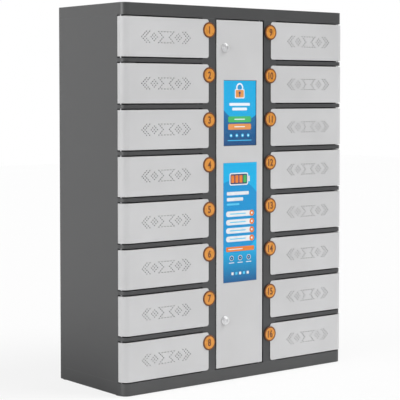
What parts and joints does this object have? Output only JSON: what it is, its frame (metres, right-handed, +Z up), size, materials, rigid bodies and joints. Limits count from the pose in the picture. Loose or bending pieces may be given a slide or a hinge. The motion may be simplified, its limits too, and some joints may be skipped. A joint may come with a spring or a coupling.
{
  "type": "device charging cabinet",
  "caption": "Free-standing sheet-steel charging cabinet: small vented doors in two columns wrap its corners, beside a locked service door with a touch screen and an information panel.",
  "frame": {"origin": "on the floor at the middle of the overall bounding box", "axes": "+Z up, the doors face -Y, +X to the right of someone facing the doors"},
  "size_m": [0.92, 0.372, 1.2],
  "materials": {
    "body_steel": "fine-textured grey powder coat",
    "frame_steel": "fine-textured dark grey powder coat",
    "inner_steel": "grey powder coat",
    "door_steel": "satin light grey powder coat",
    "badge_plastic": "glossy orange with a brown rim and number",
    "bright_steel": "zinc-plated",
    "lock_chrome": "polished chrome",
    "lock_steel": "satin",
    "screen_glass": "polished, lit from behind",
    "printed_panel": "satin printed film on a thin plate",
    "black_plastic": "moulded matte",
    "folded_aluminium": "plain",
    "circuit_board": "lacquered",
    "foot_rubber": "matte"
  },
  "bodies": {
    "cabinet": {"base_plinth": "body_steel", "top_cap": "body_steel", "side_panel_left": "body_steel", "side_panel_right": "body_steel", "back_panel": "body_steel", "back_screws": "bright_steel", "partition_left": "inner_steel", "partition_right": "inner_steel", "post_left": "frame_steel", "post_right": "frame_steel", "bay_rails": "frame_steel", "bay_shelves": "inner_steel", "bay_latches": "black_plastic", "charging_sockets": "black_plastic", "hinge_pins": "bright_steel", "power_supply": "folded_aluminium", "control_board": "circuit_board", "mains_inlet": "black_plastic", "feet": "foot_rubber"},
    "door_01": {"bay_door_01": "door_steel", "number_badge_01": "badge_plastic"},
    "door_02": {"bay_door_02": "door_steel", "number_badge_02": "badge_plastic"},
    "door_03": {"bay_door_03": "door_steel", "number_badge_03": "badge_plastic"},
    "door_04": {"bay_door_04": "door_steel", "number_badge_04": "badge_plastic"},
    "door_05": {"bay_door_05": "door_steel", "number_badge_05": "badge_plastic"},
    "door_06": {"bay_door_06": "door_steel", "number_badge_06": "badge_plastic"},
    "door_07": {"bay_door_07": "door_steel", "number_badge_07": "badge_plastic"},
    "door_08": {"bay_door_08": "door_steel", "number_badge_08": "badge_plastic"},
    "door_09": {"bay_door_09": "door_steel", "number_badge_09": "badge_plastic"},
    "door_10": {"bay_door_10": "door_steel", "number_badge_10": "badge_plastic"},
    "door_11": {"bay_door_11": "door_steel", "number_badge_11": "badge_plastic"},
    "door_12": {"bay_door_12": "door_steel", "number_badge_12": "badge_plastic"},
    "door_13": {"bay_door_13": "door_steel", "number_badge_13": "badge_plastic"},
    "door_14": {"bay_door_14": "door_steel", "number_badge_14": "badge_plastic"},
    "door_15": {"bay_door_15": "door_steel", "number_badge_15": "badge_plastic"},
    "door_16": {"bay_door_16": "door_steel", "number_badge_16": "badge_plastic"},
    "service_door_body": {"service_door": "door_steel", "screen_glass": "screen_glass", "screen_module": "black_plastic", "info_panel": "printed_panel", "lock_barrel_upper": "lock_chrome", "lock_barrel_lower": "lock_chrome"},
    "lock_upper": {"lock_plug_upper": "lock_steel"},
    "lock_lower": {"lock_plug_lower": "lock_steel"}
  },
  "joints": [
    {"name": "bay_door_01_hinge", "type": "hinge", "parent": "cabinet", "child": "door_01", "pos_m": [-0.4524, -0.1525, 1.09735], "axis": [0, 0, -1], "range_deg": [0, 95]},
    {"name": "bay_door_02_hinge", "type": "hinge", "parent": "cabinet", "child": "door_02", "pos_m": [-0.4524, -0.1525, 0.95565], "axis": [0, 0, -1], "range_deg": [0, 95]},
    {"name": "bay_door_03_hinge", "type": "hinge", "parent": "cabinet", "child": "door_03", "pos_m": [-0.4524, -0.1525, 0.81395], "axis": [0, 0, -1], "range_deg": [0, 95]},
    {"name": "bay_door_04_hinge", "type": "hinge", "parent": "cabinet", "child": "door_04", "pos_m": [-0.4524, -0.1525, 0.67225], "axis": [0, 0, -1], "range_deg": [0, 95]},
    {"name": "bay_door_05_hinge", "type": "hinge", "parent": "cabinet", "child": "door_05", "pos_m": [-0.4524, -0.1525, 0.53055], "axis": [0, 0, -1], "range_deg": [0, 95]},
    {"name": "bay_door_06_hinge", "type": "hinge", "parent": "cabinet", "child": "door_06", "pos_m": [-0.4524, -0.1525, 0.38885], "axis": [0, 0, -1], "range_deg": [0, 95]},
    {"name": "bay_door_07_hinge", "type": "hinge", "parent": "cabinet", "child": "door_07", "pos_m": [-0.4524, -0.1525, 0.24715], "axis": [0, 0, -1], "range_deg": [0, 95]},
    {"name": "bay_door_08_hinge", "type": "hinge", "parent": "cabinet", "child": "door_08", "pos_m": [-0.4524, -0.1525, 0.10545], "axis": [0, 0, -1], "range_deg": [0, 95]},
    {"name": "bay_door_09_hinge", "type": "hinge", "parent": "cabinet", "child": "door_09", "pos_m": [0.4524, -0.1525, 1.09735], "axis": [0, 0, 1], "range_deg": [0, 95]},
    {"name": "bay_door_10_hinge", "type": "hinge", "parent": "cabinet", "child": "door_10", "pos_m": [0.4524, -0.1525, 0.95565], "axis": [0, 0, 1], "range_deg": [0, 95]},
    {"name": "bay_door_11_hinge", "type": "hinge", "parent": "cabinet", "child": "door_11", "pos_m": [0.4524, -0.1525, 0.81395], "axis": [0, 0, 1], "range_deg": [0, 95]},
    {"name": "bay_door_12_hinge", "type": "hinge", "parent": "cabinet", "child": "door_12", "pos_m": [0.4524, -0.1525, 0.67225], "axis": [0, 0, 1], "range_deg": [0, 95]},
    {"name": "bay_door_13_hinge", "type": "hinge", "parent": "cabinet", "child": "door_13", "pos_m": [0.4524, -0.1525, 0.53055], "axis": [0, 0, 1], "range_deg": [0, 95]},
    {"name": "bay_door_14_hinge", "type": "hinge", "parent": "cabinet", "child": "door_14", "pos_m": [0.4524, -0.1525, 0.38885], "axis": [0, 0, 1], "range_deg": [0, 95]},
    {"name": "bay_door_15_hinge", "type": "hinge", "parent": "cabinet", "child": "door_15", "pos_m": [0.4524, -0.1525, 0.24715], "axis": [0, 0, 1], "range_deg": [0, 95]},
    {"name": "bay_door_16_hinge", "type": "hinge", "parent": "cabinet", "child": "door_16", "pos_m": [0.4524, -0.1525, 0.10545], "axis": [0, 0, 1], "range_deg": [0, 95]},
    {"name": "service_door_hinge", "type": "hinge", "parent": "cabinet", "child": "service_door_body", "pos_m": [0.0861, -0.1676, 0.6014], "axis": [0, 0, 1], "range_deg": [0, 100]},
    {"name": "upper_lock_turn", "type": "hinge", "parent": "service_door_body", "child": "lock_upper", "pos_m": [-0.0635, -0.175, 1.07], "axis": [0, -1, 0], "range_deg": [0, 90]},
    {"name": "lower_lock_turn", "type": "hinge", "parent": "service_door_body", "child": "lock_lower", "pos_m": [-0.0635, -0.175, 0.1971], "axis": [0, -1, 0], "range_deg": [0, 90]}
  ]
}
